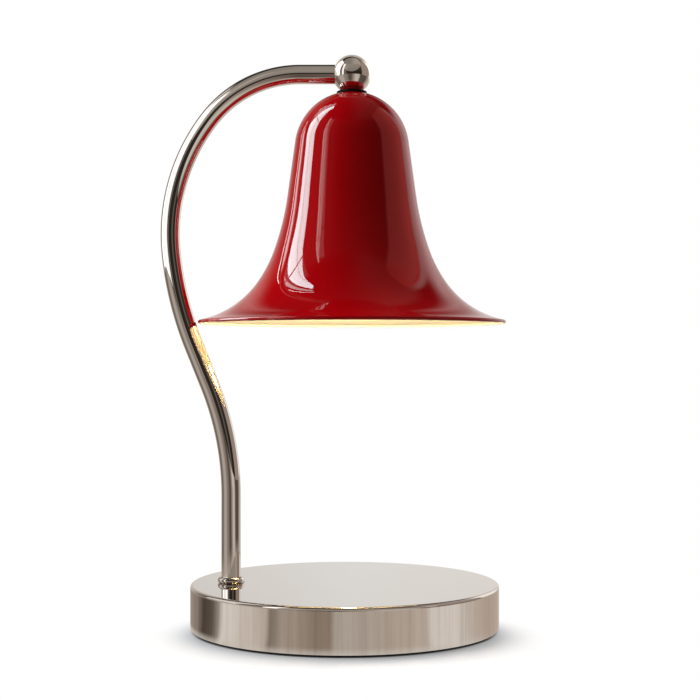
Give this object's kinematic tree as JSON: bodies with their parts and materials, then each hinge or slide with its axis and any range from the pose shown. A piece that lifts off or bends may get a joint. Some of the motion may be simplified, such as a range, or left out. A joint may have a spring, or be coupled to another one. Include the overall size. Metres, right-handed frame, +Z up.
{
  "type": "candle warmer lamp",
  "caption": "Candle warmer lamp: round weighted base, bowed tube arm ending in a ball, and a flared bell shade with a reflector bulb that melts a jar candle from above.",
  "frame": {"origin": "centre of the round base, on the table it stands on", "axes": "+Z up; the arm stands on the -X side and carries the shade over the base; the front of the lamp faces -Y and the cord inlet is at the back, +Y"},
  "size_m": [0.1684, 0.1515, 0.2796],
  "materials": {
    "polished_steel": "mirror-polished nickel plate on steel",
    "cast_iron": "rough, black-lacquered casting",
    "plated_steel": "bright zinc plate",
    "black_foam": "matt, closed-cell foam sheet",
    "black_rubber": "matt rubber",
    "white_plastic": "matt moulded nylon",
    "brass": "turned, unlacquered",
    "brown_wire": "silicone insulation",
    "blue_wire": "silicone insulation",
    "red_enamel": "high-gloss red enamel outside, cream enamel inside",
    "ceramic": "unglazed white steatite",
    "reflector_glass": "pressed glass, aluminised inside",
    "clear_glass": "clear, polished"
  },
  "bodies": {
    "stand": {"base_shell": "polished_steel", "base_weight": "cast_iron", "base_plate": "plated_steel", "base_screws": "plated_steel", "base_pad": "black_foam", "inlet_bush": "black_rubber", "terminal_block": "white_plastic", "terminal_sleeves": "brass", "terminal_screws": "plated_steel", "block_screws": "plated_steel", "arm_tube": "polished_steel", "arm_collar": "polished_steel", "foot_nipple": "brass", "foot_washer": "plated_steel", "foot_nut": "plated_steel", "ball": "polished_steel", "stop_screw": "plated_steel", "live_wire": "brown_wire", "neutral_wire": "blue_wire"},
    "head": {"swivel_nipple": "brass", "neck_washer": "black_rubber", "shade": "red_enamel", "shade_washer": "plated_steel", "shade_nut": "plated_steel", "holder_bracket": "plated_steel", "bracket_nut": "plated_steel", "lampholder": "ceramic", "lampholder_contacts": "brass", "holder_screws": "plated_steel", "head_live_wire": "brown_wire", "head_neutral_wire": "blue_wire"},
    "bulb": {"bulb_base": "ceramic", "bulb_pins": "plated_steel", "bulb_reflector": "reflector_glass", "bulb_capsule": "clear_glass", "bulb_lens": "clear_glass"}
  },
  "joints": [
    {"name": "head_swivel", "type": "hinge", "parent": "stand", "child": "head", "pos_m": [0.0035, 0, 0.262], "axis": [0, 0, 1], "range_deg": [-145, 145]},
    {"name": "bulb_twist", "type": "hinge", "parent": "head", "child": "bulb", "pos_m": [0.0035, 0, 0.228], "axis": [0, 0, 1], "range_deg": [-40, 0]}
  ]
}
